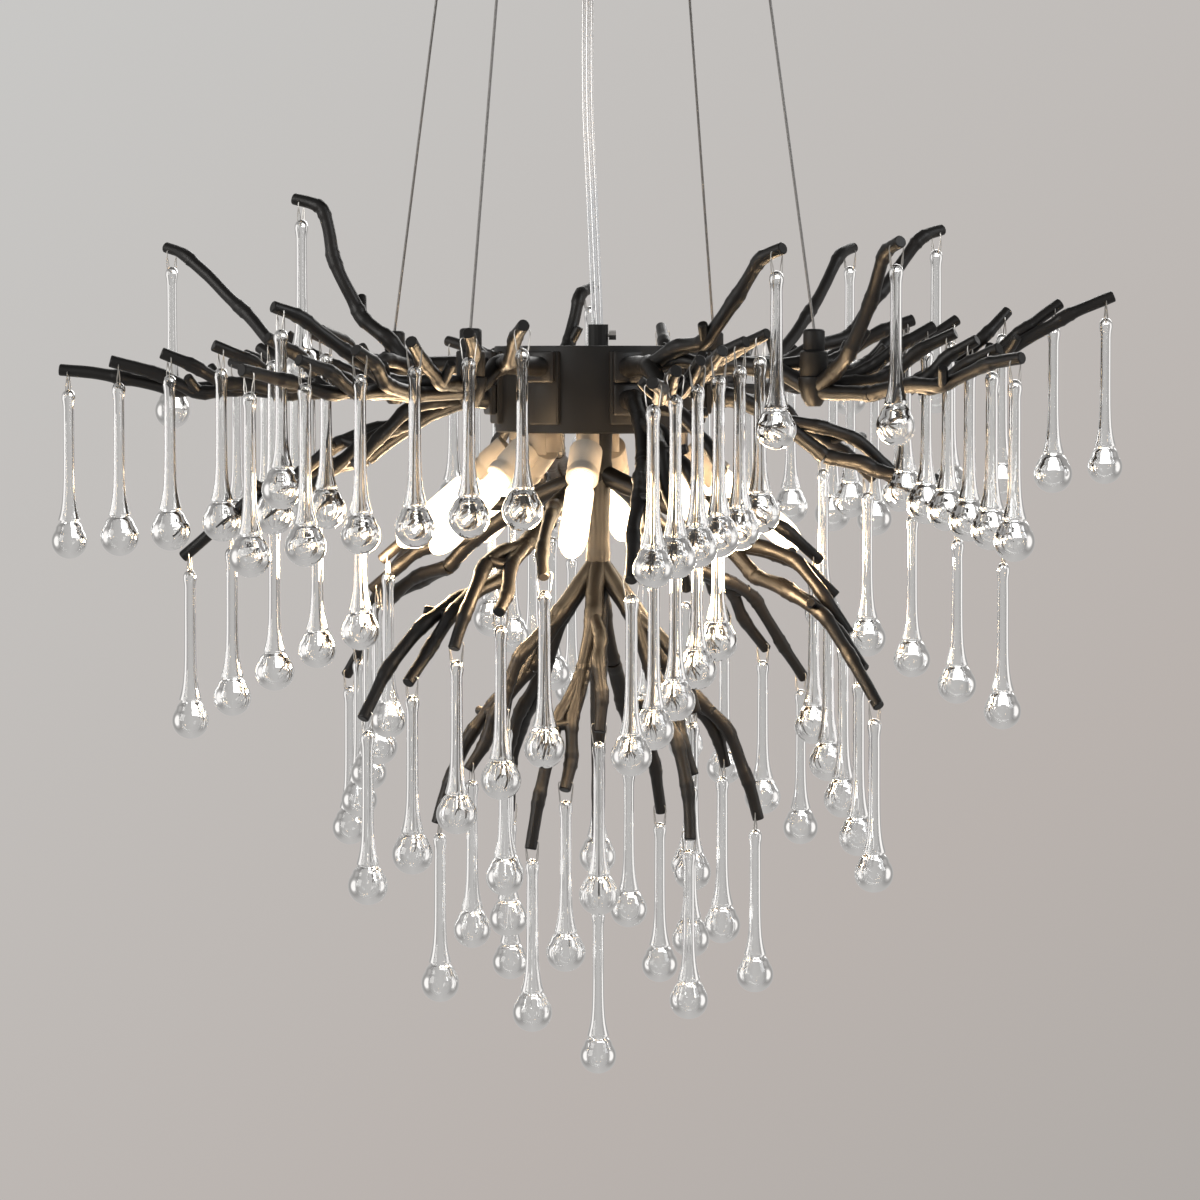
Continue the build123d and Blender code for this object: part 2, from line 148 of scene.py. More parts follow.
# Twigs that carry a stub, on even and odd branches where these differ
UPPER_STUBS = ((0, 2, 5), (1, 3, 4, 5))
MIDDLE_STUBS = ((0, 2, 4), (1, 2, 4))
STEEP_STUBS = (1, 3)
LOWER_STUBS = (1,)
LAMP_TURNS = [37.5 + 45 * k for k in range(8)]


def spot(azimuth, out, side, above):
    turn = math.radians(azimuth)
    c, s = math.cos(turn), math.sin(turn)
    return Vector((out * c - side * s, out * s + side * c, HUB_TOP + above))


def hang_points(row):
    azimuth, inner, outer, count = row
    a, b = spot(azimuth, *inner), spot(azimuth, *outer)
    return [a.lerp(b, k / (count - 1)) for k in range(count)]


def level(way):
    return Vector((way.x, way.y, 0)).normalized()


def fan(row, tier):
    """Stem of a row and the route of each twig: its fork, its bend and its blunt end."""
    stations, forks, arch = tier
    stem = [spot(row[0], *station) for station in stations]
    routes = []
    for fork, share, point in zip(forks, ARCH_SHARE, hang_points(row)):
        chord = point - stem[fork]
        over = chord.cross(Vector((0, 0, 1))).cross(chord).normalized()
        bend = stem[fork] + chord / 2 + over * (arch * share)
        routes.append([stem[fork], bend, point + (point - bend).normalized() * TIP_PAST_HOLE])
    return stem, routes


def across(route):
    """Level direction square to a twig's tip, for its hole and wire."""
    return level(route[-1] - route[-2]).cross(Vector((0, 0, 1)))


def crown_tip(k):
    """Hang point and route of a raised twig."""
    azimuth, reach, above, station = CROWN[k]
    point = spot(azimuth, reach, 0, above)
    start = fan(UPPER[k], UPPER_TIER)[0][station]
    rise = point - start
    aim = (level(rise) + Vector((0, 0, CROWN_LIFT))).normalized()
    bend = start + rise * CROWN_BEND - Vector((0, 0, CROWN_SAG * rise.length))
    return point, [start, bend, point - aim * CROWN_TIP, point + aim * TIP_PAST_HOLE]


# Mesh building


class Form:
    """Vertices and faces of one piece, gathered from turned, drawn and boxed shapes."""

    def __init__(self):
        self.points = []
        self.faces = []

    def rings(self, rings):
        """A skin over a row of rings, closed at both ends."""
        first = len(self.points)
        sides = len(rings[0])
        for r in rings:
            self.points.extend(r)
        for i in range(len(rings) - 1):
            a, b = first + i * sides, first + (i + 1) * sides
            for j in range(sides):
                n = (j + 1) % sides
                self.faces.append((a + j, a + n, b + n, b + j))
        self.faces.append(tuple(range(first + sides - 1, first - 1, -1)))
        last = first + (len(rings) - 1) * sides
        self.faces.append(tuple(range(last, last + sides)))

    def piece(self, name, body, material, slot, *nodes, smooth=40):
        mesh = bpy.data.meshes.new(name)
        mesh.from_pydata([tuple(p * MM) for p in self.points], [], self.faces)
        mesh.validate()
        obj = bpy.data.objects.new(name, mesh)
        bpy.context.scene.collection.objects.link(obj)
        mesh.materials.append(material)
        mesh.shade_smooth()
        mesh.set_sharp_from_angle(angle=math.radians(smooth))
        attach(obj, body)
        if nodes:
            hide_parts(*nodes)
        return obj


def circle(centre, across, up, radius, sides):
    turns = [2 * math.pi * k / sides for k in range(sides)]
    return [centre + (across * math.cos(t) + up * math.sin(t)) * radius for t in turns]


def square_to(aim):
    lean = Vector((0, 0, 1)) if abs(aim.z) < 0.9 else Vector((1, 0, 0))
    across = aim.cross(lean).normalized()
    return across, across.cross(aim).normalized()


def flowing(points, radii, step):
    """A smooth line through the points, with the radius carried along it."""
    line = []
    last = len(points) - 1
    for i in range(last):
        p0, p1, p2, p3 = points[max(i - 1, 0)], points[i], points[i + 1], points[min(i + 2, last)]
        count = max(2, int((p2 - p1).length / step))
        for k in range(count):
            t = k / count
            m1 = (p2 - p0) * (BEND_PULL if i else END_PULL)
            m2 = (p3 - p1) * (BEND_PULL if i + 2 <= last else END_PULL)
            h = t * t * (3 - 2 * t)
            place = p1.lerp(p2, h) + m1 * (t * (1 - t) ** 2) + m2 * (-t * t * (1 - t))
            line.append((place, radii[i] + (radii[i + 1] - radii[i]) * t))
    line.append((points[-1], radii[-1]))
    return line


def drift(place):
    """A smooth sideways push that depends on the place alone."""
    return Vector([noise.noise(place + Vector(shift)) for shift in DRIFT_SHIFTS])


def draw_rod(form, points, radii, sides=12, step=1.7, knots=(), rough=0.06, crook=1.7, blunt=True):
    """A cast rod: swollen and ridged at its knots, crooked between them, cut off bluntly."""
    line = flowing(points, radii, step)
    run = [0.0]
    for (a, _), (b, _) in zip(line, line[1:]):
        run.append(run[-1] + (b - a).length)
    rings = []
    up = None
    for i, (place, radius) in enumerate(line):
        aim = (line[min(i + 1, len(line) - 1)][0] - line[max(i - 1, 0)][0]).normalized()
        if up is None:
            across, up = square_to(aim)
        else:
            across = aim.cross(up).normalized()
            up = across.cross(aim).normalized()
        radius *= 1 + rough * noise.noise(place * SWELL_NOISE)
        for knot in knots:
            far = (place - knot).length
            swell = KNOT_SWELL * math.exp(-far * far / KNOT_SPREAD)
            ridge = RIDGE_SWELL * math.exp(-((far - RIDGE_AT) / RIDGE_WIDTH) ** 2)
            radius += swell + ridge
        room = min(run[i], run[-1] - run[i] - STRAIGHT_END)
        free = min(1.0, max(0.0, room / CROOK_FADE))
        centre = place + drift(place * CROOK_NOISE) * (crook * free)
        ring = circle(centre, across, up, radius, sides)
        if rough:
            ring = [centre + (p - centre) * (1 + SKIN_DEPTH * noise.noise(p * SKIN_NOISE)) for p in ring]
        rings.append(ring)
    if blunt:
        aim = (line[-1][0] - line[-2][0]).normalized()
        rings[-1] = [p - aim * CUT_BACK for p in rings[-1]]
        centre = sum(rings[-1], Vector()) / sides
        rings.append([centre + (p - centre) * CUT_SHARE + aim * CUT_BACK for p in rings[-1]])
    form.rings(rings)


def draw_wire(form, route, radius, sides, step):
    """A smooth round wire of one thickness."""
    draw_rod(form, route, [radius] * len(route), sides=sides, step=step, rough=0, crook=0, blunt=False)


def turn_form(form, centre, aim, profile, sides):
    """A turned shape along aim from (distance, radius) pairs."""
    across, up = square_to(aim)
    form.rings([circle(centre + aim * d, across, up, max(r, LEAST_R), sides) for d, r in profile])


def box_form(form, corner_low, corner_high, azimuth, edge):
    """A plate with eased edges, in a branch's own directions."""
    (x0, y0, z0), (x1, y1, z1) = corner_low, corner_high
    rings = []
    for x, inset in ((x0, edge), (x0 + edge, 0), (x1 - edge, 0), (x1, edge)):
        a, b, c, d = y0 + inset, y1 - inset, z0 + inset, z1 - inset
        outline = [(a + edge, c), (b - edge, c), (b, c + edge), (b, d - edge)]
        outline += [(b - edge, d), (a + edge, d), (a, d - edge), (a, c + edge)]
        rings.append([spot(azimuth, x, y, z) for y, z in outline])
    form.rings(rings)


# Finishes


def group(name, inputs, outputs):
    tree = bpy.data.node_groups.new(name, "ShaderNodeTree")
    for label, kind, value in inputs:
        made = tree.interface.new_socket(label, in_out="INPUT", socket_type=kind)
        made.default_value = value
    for label, kind in outputs:
        tree.interface.new_socket(label, in_out="OUTPUT", socket_type=kind)
    return tree, tree.nodes.new("NodeGroupInput"), tree.nodes.new("NodeGroupOutput")


def node(tree, kind, links=(), **values):
    made = tree.nodes.new(kind)
    for key, value in values.items():
        if key in made.inputs:
            made.inputs[key].default_value = value
        else:
            setattr(made, key, value)
    for source, target in links:
        tree.links.new(source, made.inputs[target])
    return made


def colour_mix(tree, factor, first, second):
    """Blend of two colours, each a socket or a plain value."""
    mix = tree.nodes.new("ShaderNodeMix")
    mix.data_type = "RGBA"
    tree.links.new(factor, mix.inputs[0])
    for socket, given in ((mix.inputs[6], first), (mix.inputs[7], second)):
        if isinstance(given, tuple):
            socket.default_value = given
        else:
            tree.links.new(given, socket)
    return mix.outputs[2]


def cast_surface_group():
    """Uneven cast metal: tone, gloss and height that vary over the surface."""
    ins = [
        ("Dark", "NodeSocketColor", (0.01, 0.01, 0.01, 1)),
        ("Pale", "NodeSocketColor", (0.05, 0.05, 0.05, 1)),
        ("Gloss low", "NodeSocketFloat", 0.35),
        ("Gloss high", "NodeSocketFloat", 0.6),
        ("Grain", "NodeSocketFloat", 900.0),
        ("Patch", "NodeSocketFloat", 45.0),
    ]
    outs = [("Color", "NodeSocketColor"), ("Roughness", "NodeSocketFloat"), ("Height", "NodeSocketFloat")]
    tree, given, out = group("cast_surface", ins, outs)
    where = node(tree, "ShaderNodeTexCoord")
    patch_links = [(where.outputs["Object"], "Vector"), (given.outputs["Patch"], "Scale")]
    patch = node(tree, "ShaderNodeTexNoise", patch_links, Detail=5.0)
    grain_links = [(where.outputs["Object"], "Vector"), (given.outputs["Grain"], "Scale")]
    grain = node(tree, "ShaderNodeTexNoise", grain_links, Detail=3.0)
    edge = node(tree, "ShaderNodeNewGeometry")
    worn = node(tree, "ShaderNodeMapRange", [(edge.outputs["Pointiness"], "Value")])
    worn.inputs["From Min"].default_value = 0.5
    worn.inputs["From Max"].default_value = 0.62
    blend_links = [(patch.outputs["Fac"], 0), (worn.outputs["Result"], 1)]
    blend = node(tree, "ShaderNodeMath", blend_links, operation="MULTIPLY")
    tone = colour_mix(tree, patch.outputs["Fac"], given.outputs["Dark"], given.outputs["Pale"])
    lift = colour_mix(tree, blend.outputs[0], tone, given.outputs["Pale"])
    gloss = node(tree, "ShaderNodeMapRange", [(patch.outputs["Fac"], "Value")])
    tree.links.new(given.outputs["Gloss low"], gloss.inputs["To Min"])
    tree.links.new(given.outputs["Gloss high"], gloss.inputs["To Max"])
    height_links = [(grain.outputs["Fac"], 0), (patch.outputs["Fac"], 1)]
    height = node(tree, "ShaderNodeMath", height_links, operation="ADD")
    tree.links.new(lift, out.inputs["Color"])
    tree.links.new(gloss.outputs["Result"], out.inputs["Roughness"])
    tree.links.new(height.outputs[0], out.inputs["Height"])
    return tree


CAST_SURFACE = cast_surface_group()
CAST_RELIEF = 0.0004


def finish(name):
    made = bpy.data.materials.new(name)
    made.use_nodes = True
    tree = made.node_tree
    return made, tree, tree.nodes["Principled BSDF"]


def cast_finish(name, dark, pale, gloss, grain, patch, bump, metallic, shine=0.5):
    made, tree, skin = finish(name)
    cast = tree.nodes.new("ShaderNodeGroup")
    cast.node_tree = CAST_SURFACE
    for label, value in (("Dark", dark), ("Pale", pale)):
        cast.inputs[label].default_value = (*value, 1)
    low, high = gloss
    for label, value in (("Gloss low", low), ("Gloss high", high), ("Grain", grain), ("Patch", patch)):
        cast.inputs[label].default_value = value
    height = [(cast.outputs["Height"], "Height")]
    raised = node(tree, "ShaderNodeBump", height, Strength=bump, Distance=CAST_RELIEF)
    tree.links.new(cast.outputs["Color"], skin.inputs["Base Color"])
    tree.links.new(cast.outputs["Roughness"], skin.inputs["Roughness"])
    tree.links.new(raised.outputs["Normal"], skin.inputs["Normal"])
    skin.inputs["Metallic"].default_value = metallic
    skin.inputs["Specular IOR Level"].default_value = shine
    return made


def glass_finish():
    made, tree, skin = finish("drop_glass")
    skin.inputs["Base Color"].default_value = (0.985, 0.99, 0.99, 1)
    skin.inputs["Transmission Weight"].default_value = 1.0
    skin.inputs["IOR"].default_value = 1.5
    skin.inputs["Roughness"].default_value = 0.0
    where = node(tree, "ShaderNodeTexCoord")
    flow = node(tree, "ShaderNodeTexNoise", [(where.outputs["Object"], "Vector")], Scale=75.0, Detail=0.0)
    raised = node(tree, "ShaderNodeBump", [(flow.outputs["Fac"], "Height")], Strength=0.06, Distance=0.001)
    tree.links.new(raised.outputs["Normal"], skin.inputs["Normal"])
    return made


def clear_jacket():
    made, tree, skin = finish("clear_jacket")
    skin.inputs["Base Color"].default_value = (0.6, 0.6, 0.6, 1)
    where = node(tree, "ShaderNodeTexCoord")
    haze = node(tree, "ShaderNodeTexNoise", [(where.outputs["Object"], "Vector")], Scale=60.0)
    for low, high, target in ((0.06, 0.14, "Roughness"), (0.1, 0.18, "Alpha")):
        span = node(tree, "ShaderNodeMapRange", [(haze.outputs["Fac"], "Value")])
        span.inputs["To Min"].default_value = low
        span.inputs["To Max"].default_value = high
        tree.links.new(span.outputs["Result"], skin.inputs[target])
    return made


BULB_GLOW, BULB_RIM = 14.0, 1.0


def lit_bulb():
    made, tree, skin = finish("lit_bulb")
    skin.inputs["Base Color"].default_value = (0.95, 0.9, 0.8, 1)
    skin.inputs["Roughness"].default_value = 0.3
    where = node(tree, "ShaderNodeTexCoord")
    cells = node(tree, "ShaderNodeTexNoise", [(where.outputs["Object"], "Vector")], Scale=160.0)
    glow = node(tree, "ShaderNodeValToRGB", [(cells.outputs["Fac"], "Fac")])
    glow.color_ramp.elements[0].color = (1.0, 0.7, 0.4, 1)
    glow.color_ramp.elements[1].color = (1.0, 0.84, 0.6, 1)
    tree.links.new(glow.outputs["Color"], skin.inputs["Emission Color"])
    facing = node(tree, "ShaderNodeLayerWeight", Blend=0.5)
    fade = node(tree, "ShaderNodeMapRange", [(facing.outputs["Facing"], "Value")])
    for label, value in (("From Min", 0.3), ("From Max", 0.8), ("To Min", BULB_GLOW), ("To Max", BULB_RIM)):
        fade.inputs[label].default_value = value
    tree.links.new(fade.outputs["Result"], skin.inputs["Emission Strength"])
    return made


BRANCH = cast_finish(
    "branch_black", dark=(0.0035, 0.0032, 0.003), pale=(0.011, 0.0095, 0.0085), gloss=(0.32, 0.46),
    grain=1500.0, patch=70.0, bump=0.3, metallic=0.1, shine=0.42,
)
PAINT = cast_finish(
    "paint_black", dark=(0.006, 0.0056, 0.0054), pale=(0.016, 0.015, 0.014), gloss=(0.4, 0.54),
    grain=2600.0, patch=30.0, bump=0.25, metallic=0.1, shine=0.28,
)
STEEL = cast_finish(
    "bright_steel", dark=(0.42, 0.41, 0.39), pale=(0.62, 0.6, 0.57), gloss=(0.22, 0.4),
    grain=2400.0, patch=260.0, bump=0.15, metallic=1.0,
)
CABLE = cast_finish(
    "cable_steel", dark=(0.1, 0.097, 0.094), pale=(0.28, 0.27, 0.26), gloss=(0.3, 0.5),
    grain=3200.0, patch=900.0, bump=0.4, metallic=0.9,
)
CERAMIC = cast_finish(
    "lamp_ceramic", dark=(0.36, 0.31, 0.25), pale=(0.5, 0.45, 0.38), gloss=(0.5, 0.7),
    grain=1800.0, patch=120.0, bump=0.2, metallic=0.0,
)
PLASTIC = cast_finish(
    "block_plastic", dark=(0.72, 0.71, 0.68), pale=(0.84, 0.83, 0.8), gloss=(0.4, 0.55),
    grain=1400.0, patch=60.0, bump=0.15, metallic=0.0,
)
CORE = cast_finish(
    "core_tin", dark=(0.9, 0.9, 0.9), pale=(0.97, 0.97, 0.97), gloss=(0.2, 0.32),
    grain=2000.0, patch=300.0, bump=0.1, metallic=0.6,
)
GLASS = glass_finish()
JACKET = clear_jacket()
BULB = lit_bulb()

# Castings


def foot_of(form, azimuth, top):
    thick, wide, tall = FOOT
    low, high = (PAD_FACE, -wide / 2, top - tall), (PAD_FACE + thick, wide / 2, top)
    box_form(form, low, high, azimuth, FOOT_EDGE)


def lean_of(k):
    """Stubs lean to one side and the other by turns."""
    return 1 if k % 2 else -1


def draw_stub(form, at, along, lean):
    """The short cut-off end of a shoot, leaning up and to one side."""
    side = along.cross(Vector((0, 0, 1))).normalized()
    aim = (side * lean + Vector((0, 0, STUB_RISE)) + along.normalized() * STUB_ALONG).normalized()
    reach = TWIG_R + STUB_L * (STUB_SHARE + noise.noise(at * STUB_NOISE))
    route = [at, at + aim * (reach / 2) + Vector((0, 0, -STUB_SAG)), at + aim * reach]
    draw_rod(form, route, STUB_RADII, crook=0)


def kinked(route, radii):
    """The route with a small kink in each long run, to a side or upwards."""
    points, sizes = [route[0]], [radii[0]]
    for a, b, ra, rb in zip(route, route[1:], radii, radii[1:]):
        run = b - a
        if run.length > KINK_RUN:
            share = 0.5 + KINK_SPREAD * noise.noise(a * KINK_NOISE)
            push = drift(b * PUSH_NOISE)
            push.z = abs(push.z)
            push -= run * (push.dot(run) / run.length_squared)
            points.append(a + run * share + push.normalized() * KINK)
            sizes.append(ra + (rb - ra) * share)
        points.append(b)
        sizes.append(rb)
    return points, sizes


def draw_twig(form, route, radii):
    points, sizes = kinked(route, radii)
    draw_rod(form, points, sizes, knots=points[:-1])


def draw_arm(form, row, tier, stubs):
    stem, routes = fan(row, tier)
    taper = [ROOT_R - (ROOT_R - STEM_END_R) * k / (len(stem) - 1) for k in range(len(stem))]
    draw_rod(form, stem, taper, knots=stem[1:])
    for k, route in enumerate(routes):
        draw_twig(form, route, TWIG_RADII)
        if k in stubs:
            draw_stub(form, route[1], route[2] - route[1], lean_of(k))


for k, row in enumerate(UPPER):
    casting = Form()
    draw_arm(casting, row, UPPER_TIER, UPPER_STUBS[k % 2])
    raised = crown_tip(k)[1]
    draw_twig(casting, raised, RAISED_RADII)
    draw_stub(casting, raised[1], raised[2] - raised[1], lean_of(k))
    foot_of(casting, row[0], -PAD_DROP)
    if k in CABLE_BRANCHES:
        turn_form(casting, spot(row[0], GRIP_REACH, 0, BOSS_TOP), Vector((0, 0, -1)), SEAT, 24)
    casting.piece(f"upper_casting_{k + 1}", "frame", BRANCH, "branch_metal", f"upper_branch_{k + 1}")

for k, row in enumerate(MIDDLE):
    casting = Form()
    draw_arm(casting, row, MIDDLE_TIER, MIDDLE_STUBS[k % 2])
    foot_of(casting, row[0], -PAD_DROP - FOOT[2] - FOOT_GAP)
    casting.piece(f"middle_casting_{k + 1}", "frame", BRANCH, "branch_metal", f"middle_branch_{k + 1}")

casting = Form()
trunk = [spot(0, 0, 0, above) for above, _ in TRUNK]
draw_rod(casting, trunk, [radius for _, radius in TRUNK], sides=18, knots=trunk[1:4], crook=0.0)
for row in STEEP:
    draw_arm(casting, row, STEEP_TIER, STEEP_STUBS)
for row in LOWER:
    draw_arm(casting, row, LOWER_TIER, LOWER_STUBS)
casting.piece("trunk_casting", "frame", BRANCH, "branch_metal", "lower_branch")

# Glass drops and their wires

BALL_R = 10.95
BALL_MID = 85.0
WIRE_R = 0.28
BALL_SPREAD, NECK_SPREAD, LENGTH_SPREAD = 0.06, 0.1, 0.05
BALL_NOISE, NECK_NOISE, LENGTH_NOISE = 0.53, 0.71, 0.31
BALL_TURNS = [math.radians(a) for a in range(52, 181, 8)]
HEAD = [(0, 0.4), (0.4, 1.8), (1.5, 3.0), (3.2, 3.7), (5.2, 3.8), (7.2, 3.45), (9, 3.15), (11, 3.05)]
NECK = [
    (20, 3.1), (38, 3.15), (50, 3.3), (57, 3.55), (62, 3.95),
    (66, 4.5), (69, 5.15), (71.2, 5.75), (72.6, 6.1), (73.2, 6.1),
]
CREASE = [(73.7, 5.6), (74.1, 5.7), (74.6, 6.4), (75.5, 7.2), (76.8, 8.1)]
# Half of a wire loop: along its hole, downwards, share of its sway
WIRE_PATH = [
    (1.6, 0, 0), (3.8, 0.5, 0), (4.2, 2.6, 0), (3.5, 8, 1),
    (3.2, 10.6, 1), (2.4, 12.2, 0.6), (1.0, 12.9, 0),
]
WIRE_SWAYS = (0.8, -0.6)


def drop_profile(point):
    """Outline of a drop, each a little different, with its ball inside the box of the solids."""
    low, high = (Vector(corner) / MM for corner in cad_box)
    room = [high.x - point.x, point.x - low.x, high.y - point.y, point.y - low.y]
    radius = min(BALL_R * (1 - BALL_SPREAD * (0.5 + noise.noise(point * BALL_NOISE))), *room)
    thick = 1 + NECK_SPREAD * noise.noise(point * NECK_NOISE)
    body = [(d, r * thick) for d, r in NECK] + [(d, r * radius / BALL_R) for d, r in CREASE]
    body += [(BALL_MID - radius * math.cos(t), radius * math.sin(t)) for t in BALL_TURNS]
    drawn = 1 - LENGTH_SPREAD * (0.5 + noise.noise(point * LENGTH_NOISE))
    end = HEAD[-1][0]
    return HEAD + [(end + (d - end) * drawn, r) for d, r in body]


def wire_loop(point, along, sway):
    """A thin wire over the twig, down both sides of it and through the eye of the glass."""
    down = Vector((0, 0, -1))
    out = along.cross(down) * sway
    side = [along * a + down * d + out * share for a, d, share in WIRE_PATH]
    return [point + s for s in side] + [point + s - 2 * s.dot(along) * along for s in side[::-1]]


def hang(name, points, ways):
    glass, wires = Form(), Form()
    down = Vector((0, 0, -1))
    for p, way in zip(points, ways):
        turn_form(glass, p + down * WIRE_DROP, down, drop_profile(p), 32)
        for sway in WIRE_SWAYS:
            draw_wire(wires, wire_loop(p, way, sway), WIRE_R, sides=6, step=1.4)
    glass.piece(name + "_glass", name + "_hung", GLASS, "drop_glass", name, smooth=50)
    wires.piece(name + "_wires", name + "_hung", STEEL, "plated_steel")


TIERS = [
    ("upper", UPPER, UPPER_TIER),
    ("middle", MIDDLE, MIDDLE_TIER),
    ("steep", STEEP, STEEP_TIER),
    ("lower", LOWER, LOWER_TIER),
]
for title, rows, tier in TIERS:
    for k, row in enumerate(rows):
        hang(f"{title}_drops_{k + 1}", hang_points(row), [across(route) for route in fan(row, tier)[1]])
for k in range(len(CROWN)):
    point, route = crown_tip(k)
    hang(f"crown_drop_{k + 1}", [point], [across(route)])
hang("centre_drop", [spot(0, 0, 0, CENTRE_DROP)], [Vector((0, 1, 0))])

# Hub with eased edges

HUB_R, PAD_BACK, PAD_W, PAD_H = 58, 53, 18, 40
DRUM = [(0, 0.5), (0, HUB_R - 0.9), (0.25, HUB_R - 0.3), (0.9, HUB_R), (HUB_H, HUB_R)]
PLATE = [(0, 0.5), (0, HUB_R - 0.5), (2.2, HUB_R - 0.5), (COVER_H, HUB_R - 1.4), (COVER_H, 0.5)]
drum = Form()
turn_form(drum, spot(0, 0, 0, 0), Vector((0, 0, -1)), DRUM, 96)
for row in UPPER:
    low, high = (PAD_BACK, -PAD_W / 2, -PAD_DROP - PAD_H), (PAD_FACE, PAD_W / 2, -PAD_DROP)
    box_form(drum, low, high, row[0], PAD_EDGE)
drum.piece("hub_drum", "frame", PAINT, "black_metal", "hub_housing")

plate = Form()
turn_form(plate, spot(0, 0, 0, -HUB_H), Vector((0, 0, -1)), PLATE, 96)
plate.piece("hub_plate", "frame", PAINT, "black_metal", "hub_cover")

# Lamps

SPLAY = math.radians(41)
LAMP_TOP = -HUB_H - COVER_H
LAMP_REACH, LAMP_DIP, HOLDER_L = 50, 9, 24
HOLDER = [(0, 0.5), (0, 8), (0.8, 9), (15, 9), (16, 8.2), (18, 8.2), (19, 9), (23.4, 9), (HOLDER_L, 8.4)]
POST_SET_BACK, POST = 6, [(0, 6.3), (12, 6.3)]
CAPSULE_R, CAPSULE_END, TIP_STRETCH = 8, 44, 2
TIP_TURNS = [math.radians(a) for a in range(15, 91, 15)]
CAPSULE = [(0, 0.5), (0, 6.4), (8, 6.6), (10, 7.8), (CAPSULE_END, CAPSULE_R)]
CAPSULE += [
    (CAPSULE_END + CAPSULE_R * TIP_STRETCH * math.sin(t), CAPSULE_R * math.cos(t)) for t in TIP_TURNS
]
holders, bulbs = Form(), Form()
for turn in LAMP_TURNS:
    out = spot(turn, 1, 0, -HUB_TOP)
    aim = out * math.cos(SPLAY) - Vector((0, 0, math.sin(SPLAY)))
    base = spot(turn, LAMP_REACH, 0, LAMP_TOP - LAMP_DIP)
    turn_form(holders, base, aim, HOLDER, 24)
    turn_form(holders, spot(turn, LAMP_REACH - POST_SET_BACK, 0, LAMP_TOP), Vector((0, 0, -1)), POST, 16)
    turn_form(bulbs, base + aim * HOLDER_L, aim, CAPSULE, 24)
holders.piece("lamp_sockets", "frame", CERAMIC, "lamp_ceramic", "lamp_holders")
bulbs.piece("lit_capsules", "frame", BULB, "bulb_glass", "bulbs")

# Suspension

ANCHOR_REACH, CANOPY_DEPTH, ANCHOR_H, GRIP_H = 105, 28, 14, 26
ANCHOR = [(0, 1), (0, 3.2), (2.4, 4.6), (4, 5.9), (ANCHOR_H, 5.9)]
GRIP = [
    (0, 0.5), (0, 7.2), (0.7, 7.7), (13.2, 7.7), (14, 7.0), (14.3, 5.6),
    (15, 5.9), (24.6, 5.9), (25.6, 5.2), (GRIP_H, 4), (GRIP_H, 1),
]
CABLE_R = 0.75
CORD_R, CORD_LENGTH = 3.35, 0.228
CORD_SWAY = [0, -3, -7, -5]
CORD_TOP = -18.5
CORD_ROUTE = [Vector((sway, 0, HUB_TOP + (CORD_TOP - HUB_TOP) * k / 3)) for k, sway in enumerate(CORD_SWAY)]
CORES = ((-2.45, 0.8), (0, 1.15), (2.45, 0.8))


def open_line(name, places):
    """The open curve that a cable or the cord follows."""
    curve = bpy.data.curves.new(name, "CURVE")
    curve.dimensions = "3D"
    line = curve.splines.new("NURBS")
    line.points.add(len(places) - 1)
    for knot, place in zip(line.points, places):
        knot.co = (*(place * MM), 1)
    line.order_u = 3
    line.use_endpoint_u = True
    return curve


def round_out(curve, name, radius, fineness, material):
    """A round piece of one thickness along an open curve."""
    curve.bevel_depth = radius * MM
    curve.bevel_resolution = fineness
    curve.use_fill_caps = True
    curve.materials.append(material)
    made = bpy.data.objects.new(name, curve)
    bpy.context.scene.collection.objects.link(made)
    return made


anchors, grips = Form(), Form()
for n, k in enumerate(CABLE_BRANCHES):
    azimuth = UPPER[k][0]
    high = spot(azimuth, ANCHOR_REACH, 0, -CANOPY_DEPTH - ANCHOR_H - HUB_TOP)
    low = spot(azimuth, GRIP_REACH, 0, BOSS_TOP + GRIP_H)
    turn_form(anchors, high, Vector((0, 0, 1)), ANCHOR, 24)
    turn_form(grips, spot(azimuth, GRIP_REACH, 0, BOSS_TOP), Vector((0, 0, 1)), GRIP, 28)
    curve = open_line(f"cable_{n + 1}", [low.lerp(high, t) for t in (0, 0.5, 1)])
    cable = round_out(curve, f"hanging_cable_{n + 1}", CABLE_R, 3, CABLE)
    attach(cable, "frame")
    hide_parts("suspension_cables")
anchors.piece("ceiling_anchors", "frame", PAINT, "black_metal", "cable_anchors")
grips.piece("cable_clamps", "frame", PAINT, "black_metal", "cable_grips")

curve = open_line("cord", CORD_ROUTE)
curve.resolution_u = 16
bare = bpy.data.objects.new("cord_line", curve.copy())
cord_line = [v.co / MM for v in bpy.data.meshes.new_from_object(bare).vertices]
bpy.data.objects.remove(bare)
cord = round_out(curve, "clear_cord", CORD_R, 5, JACKET)
cores = Form()
for side, radius in CORES:
    draw_wire(cores, [place + Vector((side, 0, 0)) for place in cord_line], radius, sides=16, step=3)
core_piece = cores.piece("cord_cores", "frame", CORE, "clear_cord")
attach(cord, "frame")
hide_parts("power_cord")

# Finishes of the solids that stay as they are
for name, material in (
    ("ceiling_bracket", STEEL), ("canopy_cover", PAINT), ("canopy_nuts", PAINT), ("terminal_block", PLASTIC),
    ("cord_grip", PAINT), ("cord_thumb_screw", STEEL), ("branch_screws", STEEL),
):
    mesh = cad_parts[name].data
    mesh.materials.clear()
    mesh.materials.append(material)

